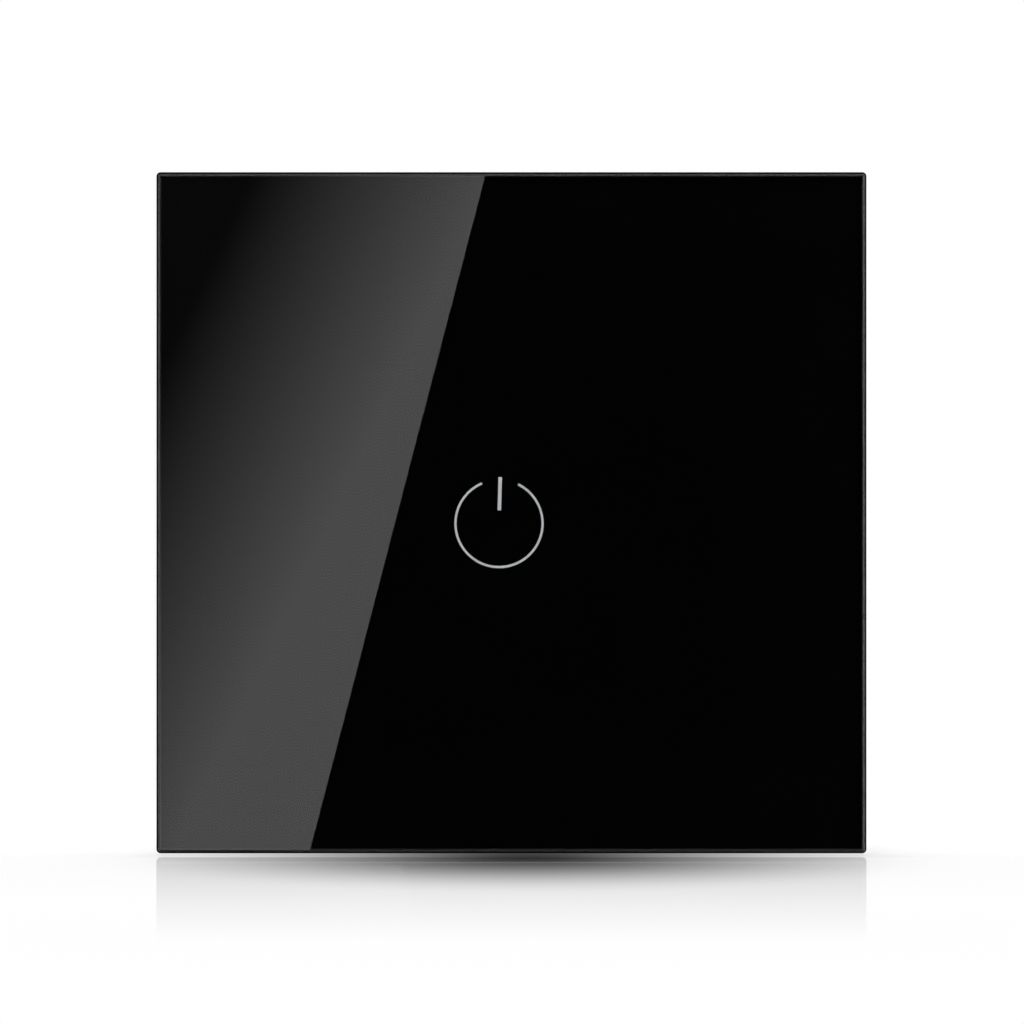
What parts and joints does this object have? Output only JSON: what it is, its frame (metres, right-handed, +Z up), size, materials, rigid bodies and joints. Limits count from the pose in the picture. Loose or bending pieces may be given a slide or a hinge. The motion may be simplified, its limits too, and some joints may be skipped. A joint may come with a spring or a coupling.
{
  "type": "touch light switch",
  "caption": "Flush touch light switch: a flat black glass panel with a lit power symbol clips over a steel mounting plate, with an octagonal housing and screw terminals in the wall box.",
  "frame": {"origin": "on the wall's surface, midway between the fixing slots", "axes": "+X right and +Z up as seen from the room, +Y into the wall"},
  "size_m": [0.086, 0.0385, 0.0826],
  "materials": {
    "panel_glass": "polished, backed with black print",
    "black_film": "black print",
    "icon_ink": "light grey translucent ink",
    "foam_tape": "foam tape",
    "black_plastic": "fine matt",
    "spring_steel": "bright strip",
    "zinc_steel": "zinc plated",
    "screw_steel": "plated",
    "grey_plastic": "moulded, fine matt",
    "white_plastic": "moulded",
    "board": "solder mask",
    "diffuser": "milky diffuser",
    "led_body": "moulded",
    "chip_black": "moulded",
    "chip_tan": "fired",
    "gold_pins": "gilt",
    "relay_plastic": "moulded",
    "copper": "enamelled wire",
    "soft_iron": "bright",
    "terminal_brass": "plain",
    "capacitor_yellow": "moulded box",
    "capacitor_sleeve": "shrink sleeve",
    "ferrite": "ferrite",
    "varistor_blue": "dipped",
    "fuse_body": "fired"
  },
  "bodies": {
    "base": {"mounting_plate": "zinc_steel", "plate_screws": "screw_steel", "chassis": "grey_plastic", "chassis_screws": "screw_steel", "touch_board": "board", "touch_board_screws": "screw_steel", "touch_spring": "spring_steel", "light_disc": "diffuser", "light_shroud": "white_plastic", "status_leds": "led_body", "touch_chip": "chip_black", "touch_board_parts": "chip_tan", "header_pins": "gold_pins", "header_strip": "chip_black", "header_socket": "chip_black", "power_board": "board", "power_board_screws": "screw_steel", "relay_base": "chip_black", "relay_cover": "relay_plastic", "relay_bobbin": "white_plastic", "relay_winding": "copper", "relay_yoke": "soft_iron", "relay_contacts": "terminal_brass", "film_capacitor": "capacitor_yellow", "bulk_capacitor": "capacitor_sleeve", "choke": "ferrite", "varistor": "varistor_blue", "fuse": "fuse_body", "rectifier": "chip_black", "terminal_bars": "terminal_brass", "rear_housing": "grey_plastic"},
    "panel": {"glass_panel": "panel_glass", "print_film": "black_film", "icon_inlay": "icon_ink", "bonding_tape": "foam_tape", "panel_frame": "black_plastic", "panel_clips": "spring_steel"},
    "armature": {"relay_armature": "soft_iron"},
    "screw_1": {"terminal_screw_1": "zinc_steel"},
    "screw_2": {"terminal_screw_2": "zinc_steel"},
    "screw_3": {"terminal_screw_3": "zinc_steel"},
    "cage_1": {"terminal_cage_1": "terminal_brass"},
    "cage_2": {"terminal_cage_2": "terminal_brass"},
    "cage_3": {"terminal_cage_3": "terminal_brass"}
  },
  "joints": [
    {"name": "panel_pull", "type": "slide", "parent": "base", "child": "panel", "axis": [0, -1, 0], "range_m": [0, 0.03], "deforming": ["panel_clips"]},
    {"name": "relay_armature_rock", "type": "hinge", "parent": "base", "child": "armature", "pos_m": [-0.00295, 0.00725, 0.0095], "axis": [0, 0, 1], "range_deg": [0, 4], "stiffness_Nm_per_rad": 0.02, "springref_deg": -1.15},
    {"name": "terminal_screw_1_turn", "type": "hinge", "parent": "base", "child": "screw_1", "pos_m": [-0.0095, 0.024, -0.0176], "axis": [0, -1, 0], "range_deg": [0, 1440]},
    {"name": "terminal_screw_2_turn", "type": "hinge", "parent": "base", "child": "screw_2", "pos_m": [0, 0.024, -0.0176], "axis": [0, -1, 0], "range_deg": [0, 1440]},
    {"name": "terminal_screw_3_turn", "type": "hinge", "parent": "base", "child": "screw_3", "pos_m": [0.0095, 0.024, -0.0176], "axis": [0, -1, 0], "range_deg": [0, 1440]},
    {"name": "terminal_cage_1_rise", "type": "slide", "parent": "base", "child": "cage_1", "axis": [0, 1, 0], "range_m": [0, 0.0024]},
    {"name": "terminal_cage_2_rise", "type": "slide", "parent": "base", "child": "cage_2", "axis": [0, 1, 0], "range_m": [0, 0.0024]},
    {"name": "terminal_cage_3_rise", "type": "slide", "parent": "base", "child": "cage_3", "axis": [0, 1, 0], "range_m": [0, 0.0024]}
  ],
  "couplings": [
    {"joint": "terminal_screw_1_turn", "follows": "terminal_cage_1_rise", "rad_per_m": 10472},
    {"joint": "terminal_screw_2_turn", "follows": "terminal_cage_2_rise", "rad_per_m": 10472},
    {"joint": "terminal_screw_3_turn", "follows": "terminal_cage_3_rise", "rad_per_m": 10472}
  ]
}
